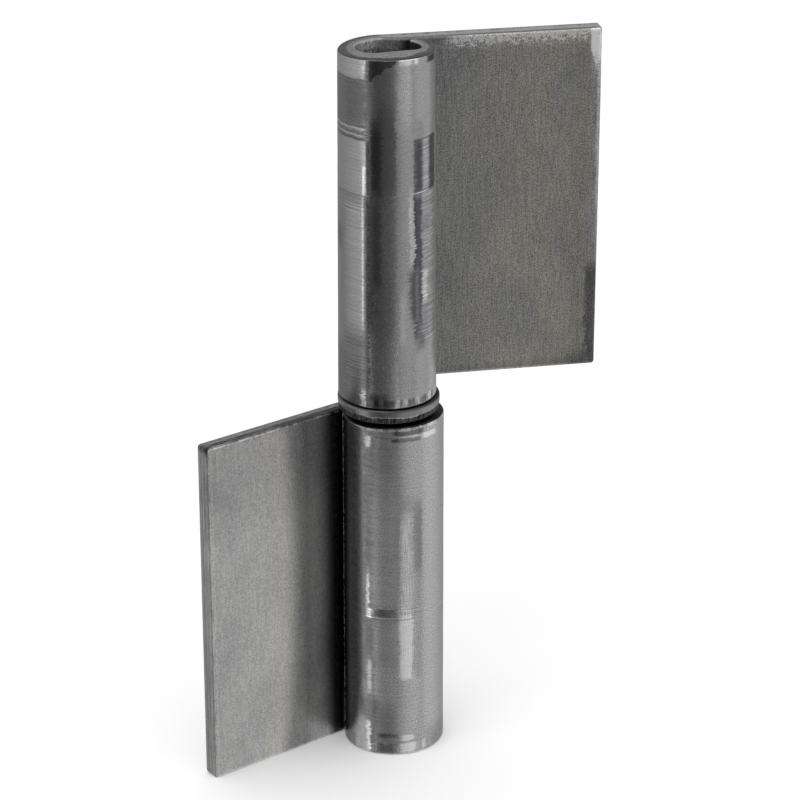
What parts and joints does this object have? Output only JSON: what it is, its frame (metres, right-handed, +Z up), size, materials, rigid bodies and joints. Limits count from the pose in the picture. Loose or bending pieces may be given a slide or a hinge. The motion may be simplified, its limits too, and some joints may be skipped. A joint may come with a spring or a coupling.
{
  "type": "weld on barrel hinge",
  "caption": "Lift-off weld-on barrel hinge with rolled steel leaves, a fixed pin and a thrust washer between the barrels.",
  "frame": {"origin": "on the pin axis, in the plane of the lower leaf's foot", "axes": "+Z up along the pin, +Y out of the lower leaf's weld face, and the lower leaf's plate runs towards -X"},
  "size_m": [0.0673, 0.0197, 0.121],
  "materials": {
    "rolled_steel": "bare mill finish, drawn and burnished on the barrels",
    "pin_steel": "bright drawn rod",
    "washer_steel": "bare, punched rim"
  },
  "bodies": {
    "frame_side": {"lower_leaf": "rolled_steel", "pin": "pin_steel"},
    "washer": {"washer": "washer_steel"},
    "door_side": {"upper_leaf": "rolled_steel"}
  },
  "joints": [
    {"name": "leaf_turn", "type": "hinge", "parent": "frame_side", "child": "washer", "pos_m": [0, 0, 0.0615], "axis": [0, 0, 1], "continuous": true},
    {"name": "leaf_lift", "type": "slide", "parent": "washer", "child": "door_side", "axis": [0, 0, 1], "range_m": [0, 0.036]}
  ]
}
